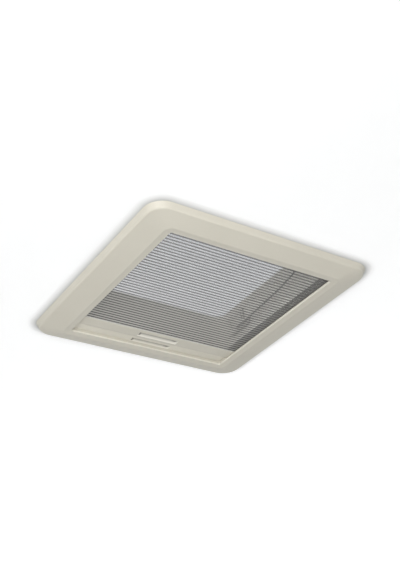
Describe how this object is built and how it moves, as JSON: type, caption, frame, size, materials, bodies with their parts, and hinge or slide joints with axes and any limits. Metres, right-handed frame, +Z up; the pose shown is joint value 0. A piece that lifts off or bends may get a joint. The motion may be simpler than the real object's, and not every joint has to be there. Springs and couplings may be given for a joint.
{
  "type": "camper roof skylight",
  "caption": "Hinged double-skin dome roof light for a caravan or camper, with a ceiling frame, a pleated insect screen and a pleated blackout blind on pull bars.",
  "frame": {"origin": "centre of the roof cut-out in the plane of the ceiling", "axes": "+Z up through the roof; +Y towards the pull bars of the blinds, the side that opens; the dome's hinge is on the -Y side"},
  "size_m": [0.396, 0.396, 0.1315],
  "materials": {
    "frame_cream": "fine grain",
    "liner_grey": "satin",
    "rail_grey": "satin",
    "roof_white": "satin",
    "dome_acrylic": "polished",
    "seal_rubber": "matt",
    "net_fabric": "open weave",
    "blackout_fabric": "metal coated back",
    "pile": "short pile",
    "cord": "braided",
    "glide_white": "smooth",
    "steel": "zinc plated",
    "stay_black": "powder coat",
    "hardware_grey": "satin"
  },
  "bodies": {
    "frame": {"inner_frame": "frame_cream", "well_liner": "liner_grey", "guide_rail_left": "rail_grey", "guide_rail_right": "rail_grey", "rear_rail": "rail_grey", "front_rail": "rail_grey", "rail_corners": "rail_grey", "frame_clips": "rail_grey", "roof_frame": "roof_white", "roof_flange": "roof_white", "roof_collar": "liner_grey", "roof_seal": "seal_rubber", "dome_seal": "seal_rubber", "flyscreen_pleats": "net_fabric", "blackout_pleats": "blackout_fabric", "brush_seals": "pile", "tension_cords": "cord", "cord_anchors": "glide_white", "flyscreen_end_strip": "glide_white", "blackout_end_strip": "glide_white", "corner_screws": "steel", "liner_screws": "steel", "hinge_screws": "steel", "rack_screws": "steel", "hinge_pins": "steel", "hinge_brackets": "hardware_grey", "stay_rack_right": "hardware_grey", "stay_rack_left": "hardware_grey"},
    "dome": {"outer_dome": "dome_acrylic", "inner_pane": "dome_acrylic", "dome_frame": "roof_white", "hinge_leaves": "hardware_grey", "hinge_bushes": "glide_white", "leaf_screws": "steel", "stay_lugs": "hardware_grey"},
    "stay_right": {"stay_rod_right": "stay_black", "stay_cap_right": "hardware_grey"},
    "stay_left": {"stay_rod_left": "stay_black", "stay_cap_left": "hardware_grey"},
    "flyscreen": {"flyscreen_bar": "frame_cream", "flyscreen_glides": "glide_white", "flyscreen_clamp_strip": "glide_white"},
    "blackout": {"blackout_bar": "frame_cream", "blackout_glides": "glide_white", "blackout_clamp_strip": "glide_white"}
  },
  "joints": [
    {"name": "dome_hinge", "type": "hinge", "parent": "frame", "child": "dome", "pos_m": [0, -0.178, 0.062], "axis": [1, 0, 0], "range_deg": [0, 40]},
    {"name": "stay_right_pivot", "type": "hinge", "parent": "dome", "child": "stay_right", "pos_m": [0.1245, -0.118, 0.05], "axis": [1, 0, 0], "range_deg": [-53, 1]},
    {"name": "stay_left_pivot", "type": "hinge", "parent": "dome", "child": "stay_left", "pos_m": [-0.1245, -0.118, 0.05], "axis": [1, 0, 0], "range_deg": [-53, 1]},
    {"name": "flyscreen_slide", "type": "slide", "parent": "frame", "child": "flyscreen", "axis": [0, -1, 0], "range_m": [0, 0.244], "deforming": ["flyscreen_pleats"]},
    {"name": "blackout_slide", "type": "slide", "parent": "frame", "child": "blackout", "axis": [0, -1, 0], "range_m": [0, 0.28], "deforming": ["blackout_pleats"]}
  ],
  "couplings": [
    {"joint": "stay_right_pivot", "follows": "dome_hinge", "ratio": -1.3153},
    {"joint": "stay_left_pivot", "follows": "dome_hinge", "ratio": -1.3153}
  ]
}
